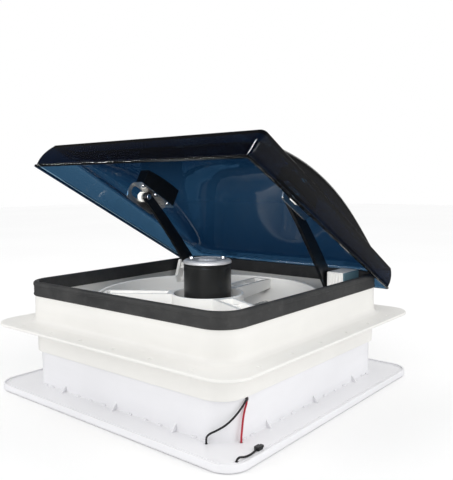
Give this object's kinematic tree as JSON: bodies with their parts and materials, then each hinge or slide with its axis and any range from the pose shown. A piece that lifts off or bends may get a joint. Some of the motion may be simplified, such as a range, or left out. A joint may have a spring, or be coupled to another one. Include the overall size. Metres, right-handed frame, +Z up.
{
  "type": "powered roof vent",
  "caption": "Square powered roof vent with a hinged smoked lid on two lift arms, a fan on a three-arm mount, a flanged collar and a lit ceiling trim.",
  "frame": {"origin": "centre of the ceiling trim's footprint, on the trim's lowest face", "axes": "+Z up through the roof, along the fan axis; +Y towards the hinge side of the lid; the lid opens towards -Y; +X towards the gearbox side"},
  "size_m": [0.4208, 0.4208, 0.3334],
  "materials": {
    "warm_white": "satin warm white moulding",
    "cool_white": "satin cool white moulding",
    "rubber": "dull black",
    "smoked_plastic": "glossy smoked blue, translucent",
    "fan_plastic": "smoked, translucent",
    "black_paint": "semi-gloss black",
    "black_plastic": "matt black",
    "grey_plastic": "satin blue-grey moulding",
    "steel": "bright pressed steel",
    "light_plastic": "milky white diffuser",
    "board": "white board",
    "nylon": "natural nylon",
    "red_insulation": "smooth red insulation",
    "black_insulation": "smooth black insulation"
  },
  "bodies": {
    "base": {"roof_base": "warm_white", "rim_seal": "rubber", "trim_bezel": "cool_white", "trim_frame": "cool_white", "inner_panel": "cool_white", "touch_pad": "cool_white", "led_diffuser_1": "light_plastic", "led_board_1": "board", "panel_screw_1": "steel", "led_diffuser_2": "light_plastic", "led_board_2": "board", "panel_screw_2": "steel", "led_diffuser_3": "light_plastic", "led_board_3": "board", "panel_screw_3": "steel", "led_diffuser_4": "light_plastic", "led_board_4": "board", "panel_screw_4": "steel", "fan_shroud": "warm_white", "duct_ring": "warm_white", "motor_mount": "warm_white", "motor_can": "black_paint", "motor_end_cap": "steel", "motor_bolt_1": "steel", "motor_bolt_2": "steel", "hinge_base_left": "black_paint", "hinge_pin_left": "steel", "hinge_base_right": "black_paint", "hinge_pin_right": "steel", "pivot_post": "warm_white", "pivot_pin": "steel", "gearbox_housing": "warm_white", "gearbox_cover": "grey_plastic", "lift_motor": "steel", "black_lead": "black_insulation", "red_lead": "red_insulation", "connector_lead": "black_insulation", "lead_connector": "black_plastic"},
    "lid": {"lid_shell": "smoked_plastic", "bracket_spacer_left": "black_plastic", "lid_bracket_left": "steel", "hinge_leaf_left": "black_paint", "bracket_screw_left_1": "steel", "bracket_screw_left_2": "steel", "bracket_screw_left_3": "steel", "bracket_spacer_right": "black_plastic", "lid_bracket_right": "steel", "hinge_leaf_right": "black_paint", "bracket_screw_right_1": "steel", "bracket_screw_right_2": "steel", "bracket_screw_right_3": "steel"},
    "lift_left": {"lift_arm_left": "black_paint", "arm_pin_left": "steel"},
    "lift_right": {"lift_arm_right": "black_paint", "arm_pin_right": "steel", "output_shaft": "steel", "lift_gear": "nylon"},
    "fan": {"fan_shaft": "steel", "fan_impeller": "fan_plastic", "fan_nut": "steel"}
  },
  "joints": [
    {"name": "lid_hinge", "type": "hinge", "parent": "base", "child": "lid", "pos_m": [0, 0.188, 0.1225], "axis": [1, 0, 0], "range_deg": [0, 30]},
    {"name": "lift_left", "type": "hinge", "parent": "base", "child": "lift_left", "pos_m": [-0.128, 0.118, 0.127], "axis": [1, 0, 0], "range_deg": [0, 42.6]},
    {"name": "lift_right", "type": "hinge", "parent": "base", "child": "lift_right", "pos_m": [0.128, 0.118, 0.127], "axis": [1, 0, 0], "range_deg": [0, 42.6]},
    {"name": "fan_spin", "type": "hinge", "parent": "base", "child": "fan", "pos_m": [0, 0, 0.08], "axis": [0, 0, 1], "continuous": true}
  ],
  "couplings": [
    {"joint": "lift_left", "follows": "lid_hinge", "ratio": 1.414},
    {"joint": "lift_right", "follows": "lid_hinge", "ratio": 1.414}
  ]
}
